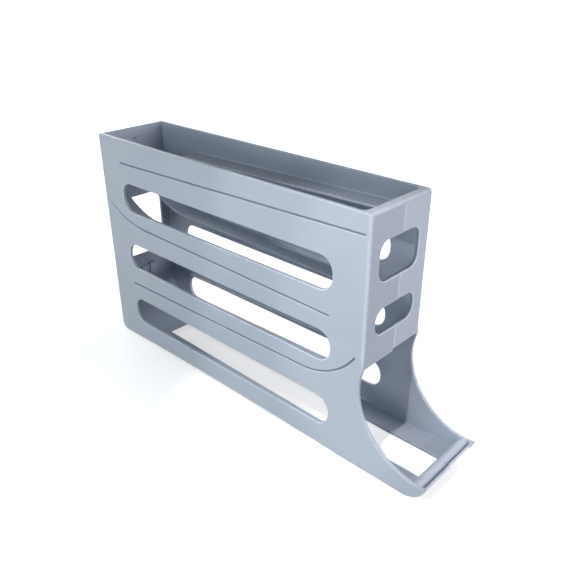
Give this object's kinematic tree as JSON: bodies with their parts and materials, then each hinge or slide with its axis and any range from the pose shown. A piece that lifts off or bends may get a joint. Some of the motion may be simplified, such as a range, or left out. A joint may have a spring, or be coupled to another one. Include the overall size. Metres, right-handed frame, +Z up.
{
  "type": "rolling egg dispenser",
  "caption": "Narrow upright rack in which eggs roll down sloping zigzag tiers to a low exit tray with a rounded lip; slotted sides, windowed front.",
  "frame": {"origin": "centre of the bounding box in plan, on the surface that the rack stands on", "axes": "+X towards the exit tray, +Y towards the half that is on the right for someone facing the exit, +Z up"},
  "size_m": [0.3704, 0.072, 0.2055],
  "materials": {
    "plastic": "moulded, fine satin grain"
  },
  "bodies": {
    "left_moulding": {"left_exit_floor": "plastic", "left_front_rim": "plastic", "left_front_wall": "plastic", "left_lip_bar": "plastic", "left_rear_band": "plastic", "left_rear_chute": "plastic", "left_rear_post": "plastic", "left_side_panel": "plastic", "left_tab_front_low": "plastic", "left_tab_front_middle": "plastic", "left_tab_front_top": "plastic", "left_tab_lip": "plastic", "left_tab_rear_low": "plastic", "left_tab_rear_middle": "plastic", "left_tab_rear_top": "plastic", "left_tier_1_ledge": "plastic", "left_tier_2_ledge": "plastic", "left_tier_2_rear_guide": "plastic", "left_tier_3_front_guide": "plastic", "left_tier_3_ledge": "plastic", "left_tier_4_ledge": "plastic"},
    "right_moulding": {"right_bridge_front_low": "plastic", "right_bridge_front_middle": "plastic", "right_bridge_front_top": "plastic", "right_bridge_rear_low": "plastic", "right_bridge_rear_middle": "plastic", "right_bridge_rear_top": "plastic", "right_exit_floor": "plastic", "right_front_rim": "plastic", "right_front_wall": "plastic", "right_lip_bar": "plastic", "right_rear_band": "plastic", "right_rear_chute": "plastic", "right_rear_post": "plastic", "right_side_panel": "plastic", "right_tier_1_ledge": "plastic", "right_tier_2_ledge": "plastic", "right_tier_2_rear_guide": "plastic", "right_tier_3_front_guide": "plastic", "right_tier_3_ledge": "plastic", "right_tier_4_ledge": "plastic"}
  },
  "joints": [
    {"name": "right_half_pull_off", "type": "slide", "parent": "left_moulding", "child": "right_moulding", "axis": [0, 1, 0], "range_m": [0, 0.05]}
  ]
}
